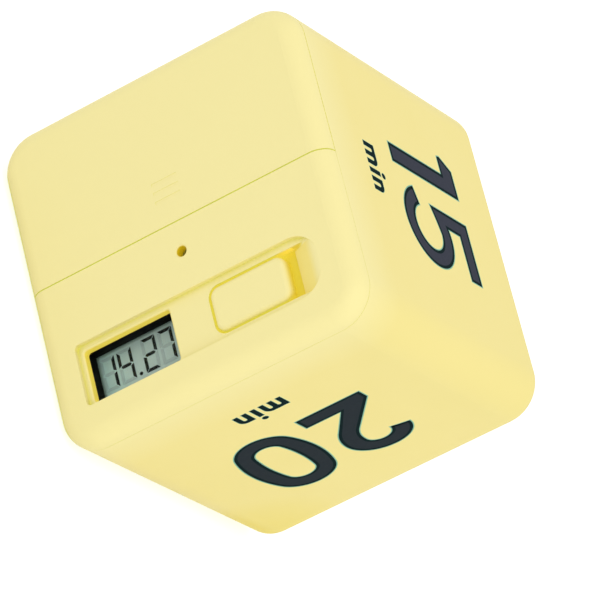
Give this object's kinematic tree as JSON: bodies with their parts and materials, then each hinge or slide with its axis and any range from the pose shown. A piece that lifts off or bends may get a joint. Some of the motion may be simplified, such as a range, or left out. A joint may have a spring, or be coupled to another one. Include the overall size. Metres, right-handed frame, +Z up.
{
  "type": "flip timer",
  "caption": "Cube-shaped flip timer: turning a numbered side up starts its countdown, shown on a small display; with battery cover, slide switch and tilt sensors.",
  "frame": {"origin": "centre of the underside, on the surface that the cube stands on", "axes": "+Z up through the side marked 15; -Y is the display face, +X the side marked 20, -X the side marked 60"},
  "size_m": [0.06, 0.06, 0.06],
  "materials": {
    "shell": "fine satin moulded plastic, pale yellow",
    "knob": "fine satin moulded plastic, pale yellow",
    "ink": "matt pad-printed ink, dark slate",
    "black_plastic": "satin black moulded plastic",
    "white_plastic": "natural moulded nylon",
    "board": "green resist over glass laminate",
    "steel": "bright plated steel",
    "screw_steel": "zinc-plated steel",
    "display_glass": "thin clear glass",
    "display_film": "clear film with a soft sheen",
    "display_back": "grey-green diffuse reflector",
    "display_dark": "dark switched bars",
    "display_idle": "clear unswitched bars",
    "rubber": "soft conductive rubber",
    "foam": "closed-cell foam",
    "lamp": "clear amber-red moulded lens",
    "resin": "glossy black resin",
    "ceramic": "fired ceramic",
    "brass": "thin rolled brass",
    "red_cover": "red wire cover",
    "black_cover": "black wire cover",
    "cell_sleeve": "plain dark printed sleeve"
  },
  "bodies": {
    "case": {"black_wire": "black_cover", "board_screws": "screw_steel", "cell_a": "cell_sleeve", "cell_a_ends": "steel", "cell_b": "cell_sleeve", "cell_b_ends": "steel", "chip_cover": "resin", "contact_bridge": "steel", "contact_minus": "steel", "contact_plus": "steel", "crystal": "steel", "display_connector": "rubber", "display_cushion": "foam", "display_digits": "display_dark", "display_film": "display_film", "display_frame": "black_plastic", "display_front_glass": "display_glass", "display_idle_bars": "display_idle", "display_rear_glass": "display_glass", "display_reflector": "display_back", "flash_lamp": "lamp", "front_panel": "shell", "housing": "shell", "housing_screws": "screw_steel", "lamp_leads": "steel", "main_board": "board", "numeral_15": "ink", "numeral_20": "ink", "numeral_30": "ink", "numeral_60": "ink", "red_wire": "red_cover", "small_parts": "ceramic", "sounder_ceramic": "ceramic", "sounder_disc": "brass", "sounder_wires": "black_cover", "spring_bridge": "steel", "spring_minus": "steel", "switch_base": "white_plastic", "switch_case": "steel", "switch_pins": "steel", "tilt_can_a": "steel", "tilt_can_b": "steel", "tilt_leads": "steel", "tilt_plugs": "black_plastic"},
    "battery_cover": {"battery_cover": "shell"},
    "power_switch": {"power_knob": "knob", "switch_slider": "black_plastic"},
    "tilt_a": {"tilt_ball_a": "steel"},
    "tilt_b": {"tilt_ball_b": "steel"}
  },
  "joints": [
    {"name": "cover_slide", "type": "slide", "parent": "case", "child": "battery_cover", "axis": [-1, 0, 0], "range_m": [0, 0.03]},
    {"name": "power_slide", "type": "slide", "parent": "case", "child": "power_switch", "axis": [0, 0, 1], "range_m": [0, 0.0013]},
    {"name": "tilt_roll_a", "type": "slide", "parent": "case", "child": "tilt_a", "axis": [0.7071, 0, 0.7071], "range_m": [0, 0.0032]},
    {"name": "tilt_roll_b", "type": "slide", "parent": "case", "child": "tilt_b", "axis": [-0.7071, 0, 0.7071], "range_m": [0, 0.0032]}
  ]
}
